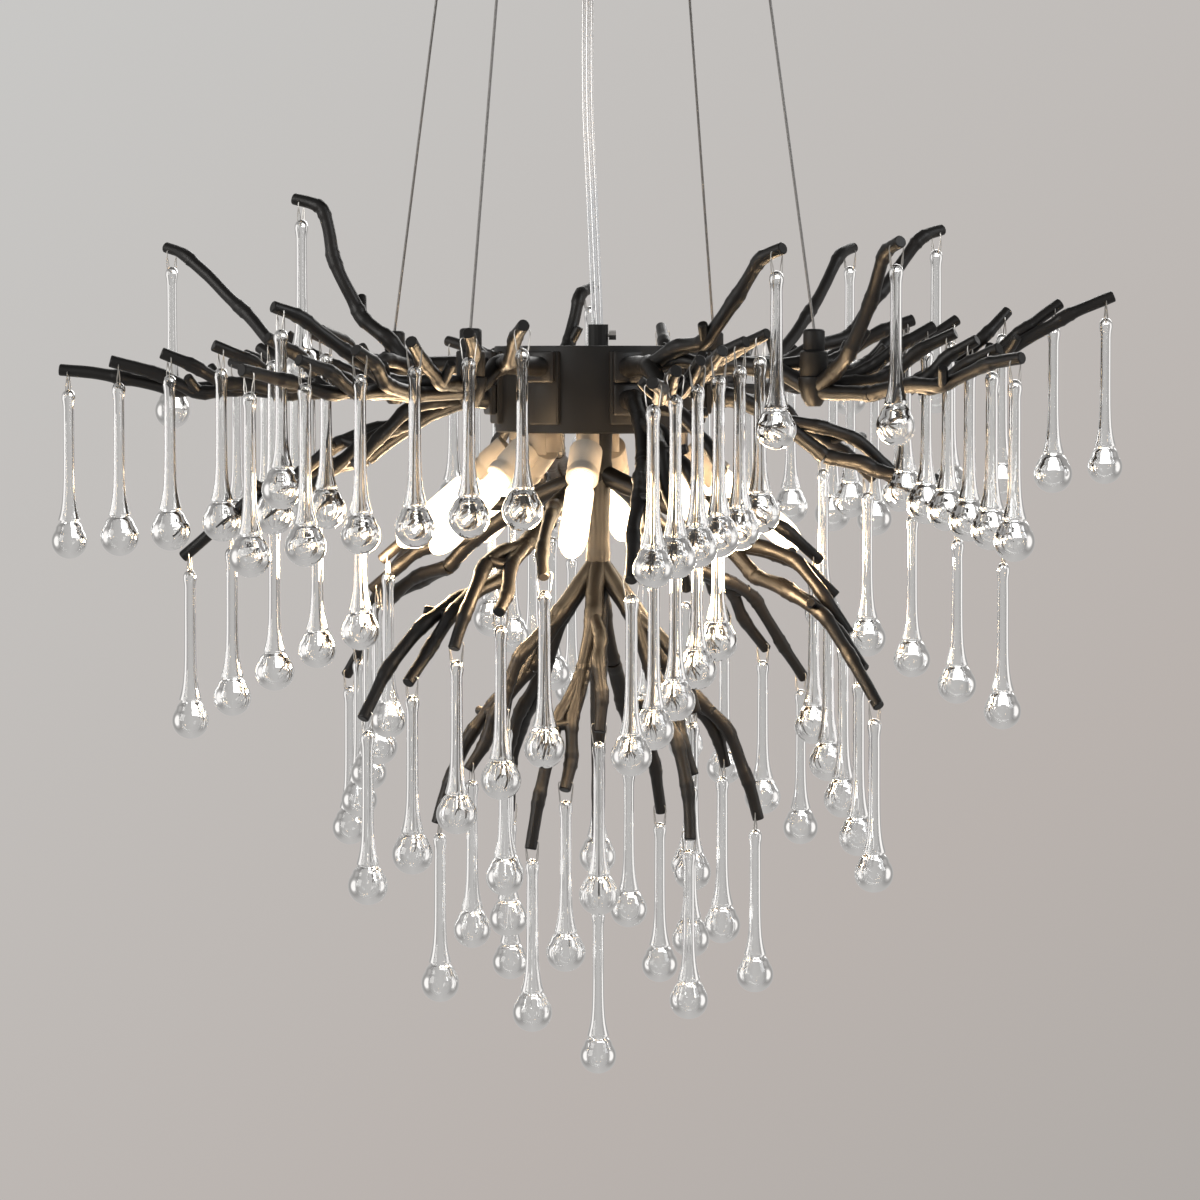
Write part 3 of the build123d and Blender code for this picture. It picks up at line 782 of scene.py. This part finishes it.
# Stage, light and camera
FRAME_MID = -0.388
CAMERA_FAR, CAMERA_SIDE = 2.3, 0.001
CAMERA_RISE = math.radians(3.3)
CAMERA_LENS, SENSOR_WIDTH = 123.2, 36
WALL_RISE, WALL_LEVEL, WALL_TILT = 1.99, 0.614, -1.44
ROOM_SHADES = [(0.0, 0.5), (0.5, 0.45), (0.8, 0.3), (0.9, 0.45), (0.95, 1.0), (1.0, 1.0)]
ROOM_TINT = (1, 0.975, 0.95)
CEILING_FROM, CEILING_TO = 0.5, 0.9
LIGHT_AIM = (0, 0, -0.4)
BULB_LIGHT_REACH, BULB_LIGHT_DIP = 128, 72
BULB_LIGHT_POWER, BULB_LIGHT_SIZE = 0.6, 0.012

world = bpy.data.worlds.new("studio")
bpy.context.scene.world = world
world.use_nodes = True
sky = world.node_tree
sky.nodes.clear()
where = node(sky, "ShaderNodeTexCoord")
split = node(sky, "ShaderNodeSeparateXYZ", [(where.outputs["Generated"], 0)])
rise = node(sky, "ShaderNodeMath", [(split.outputs["Z"], 0)], operation="MULTIPLY_ADD")
rise.inputs[1].default_value = WALL_RISE
rise.inputs[2].default_value = WALL_LEVEL
tilt = node(sky, "ShaderNodeMath", [(split.outputs["X"], 0), (rise.outputs[0], 2)], operation="MULTIPLY_ADD")
tilt.inputs[1].default_value = WALL_TILT
wall = node(sky, "ShaderNodeValToRGB", [(tilt.outputs[0], "Fac")])
wall.color_ramp.elements[0].color = (0.435, 0.408, 0.387, 1)
wall.color_ramp.elements[1].color = (0.582, 0.575, 0.562, 1)
wall.color_ramp.elements.new(0.26).color = (0.487, 0.446, 0.421, 1)
seen = node(sky, "ShaderNodeBackground", [(wall.outputs["Color"], "Color")], Strength=1.0)
side = node(sky, "ShaderNodeMath", [(split.outputs["X"], 0)], operation="ABSOLUTE")
walls = node(sky, "ShaderNodeValToRGB", [(side.outputs[0], "Fac")])
for place, _ in ROOM_SHADES[1:-1]:
    walls.color_ramp.elements.new(place)
for stop, (_, tone) in zip(walls.color_ramp.elements, ROOM_SHADES):
    stop.color = (*(tone * share for share in ROOM_TINT), 1)
ceiling = node(sky, "ShaderNodeMapRange", [(split.outputs["Z"], "Value")])
ceiling.inputs["From Min"].default_value = CEILING_FROM
ceiling.inputs["From Max"].default_value = CEILING_TO
room = colour_mix(sky, ceiling.outputs["Result"], walls.outputs["Color"], (0.2, 0.195, 0.19, 1))
around = node(sky, "ShaderNodeBackground", [(room, "Color")], Strength=1.0)
soft = node(sky, "ShaderNodeBackground", Color=(0.92, 0.95, 1.0, 1), Strength=0.5)
rays = node(sky, "ShaderNodeLightPath")
bounced_links = [(rays.outputs["Is Glossy Ray"], 0), (rays.outputs["Is Transmission Ray"], 1)]
bounced = node(sky, "ShaderNodeMath", bounced_links, operation="MAXIMUM")
lit_links = [(bounced.outputs[0], 0), (soft.outputs[0], 1), (around.outputs[0], 2)]
lit = node(sky, "ShaderNodeMixShader", lit_links)
mixed_links = [(rays.outputs["Is Camera Ray"], 0), (lit.outputs[0], 1), (seen.outputs[0], 2)]
mixed = node(sky, "ShaderNodeMixShader", mixed_links)
node(sky, "ShaderNodeOutputWorld", [(mixed.outputs[0], "Surface")])


def soft_light(name, place, aim, size, power, tint):
    lamp = bpy.data.lights.new(name, "AREA")
    lamp.shape = "RECTANGLE"
    lamp.size, lamp.size_y = size
    lamp.energy = power
    lamp.color = tint
    made = bpy.data.objects.new(name, lamp)
    made.location = place
    made.rotation_euler = (Vector(aim) - Vector(place)).to_track_quat("-Z", "Y").to_euler()
    bpy.context.scene.collection.objects.link(made)


soft_light("window_left", (-2.2, -1.6, 0.5), LIGHT_AIM, (1.4, 1.8), 34, (1.0, 0.98, 0.95))
soft_light("sky_right", (2.0, -1.2, 0.9), LIGHT_AIM, (1.2, 1.2), 16, (0.96, 0.98, 1.0))
soft_light("back_rim", (0.6, 2.2, 0.6), LIGHT_AIM, (1.8, 1.0), 18, (1.0, 0.99, 0.97))
for n, turn in enumerate(LAMP_TURNS):
    point = bpy.data.lights.new(f"bulb_light_{n + 1}", "POINT")
    point.energy = BULB_LIGHT_POWER
    point.color = (1.0, 0.68, 0.38)
    point.shadow_soft_size = BULB_LIGHT_SIZE
    made = bpy.data.objects.new(f"bulb_light_{n + 1}", point)
    made.location = spot(turn, BULB_LIGHT_REACH, 0, LAMP_TOP - BULB_LIGHT_DIP) * MM
    bpy.context.scene.collection.objects.link(made)

camera = bpy.data.cameras.new("camera")
camera.lens = CAMERA_LENS
camera.sensor_width = SENSOR_WIDTH
eye = bpy.data.objects.new("camera", camera)
eye_back, eye_up = CAMERA_FAR * math.cos(CAMERA_RISE), CAMERA_FAR * math.sin(CAMERA_RISE)
eye.location = (CAMERA_SIDE, -eye_back, FRAME_MID + eye_up)
eye.rotation_euler = (math.pi / 2 - CAMERA_RISE, 0, 0)
bpy.context.scene.collection.objects.link(eye)
bpy.context.scene.camera = eye
bpy.context.scene.view_settings.view_transform = "Standard"
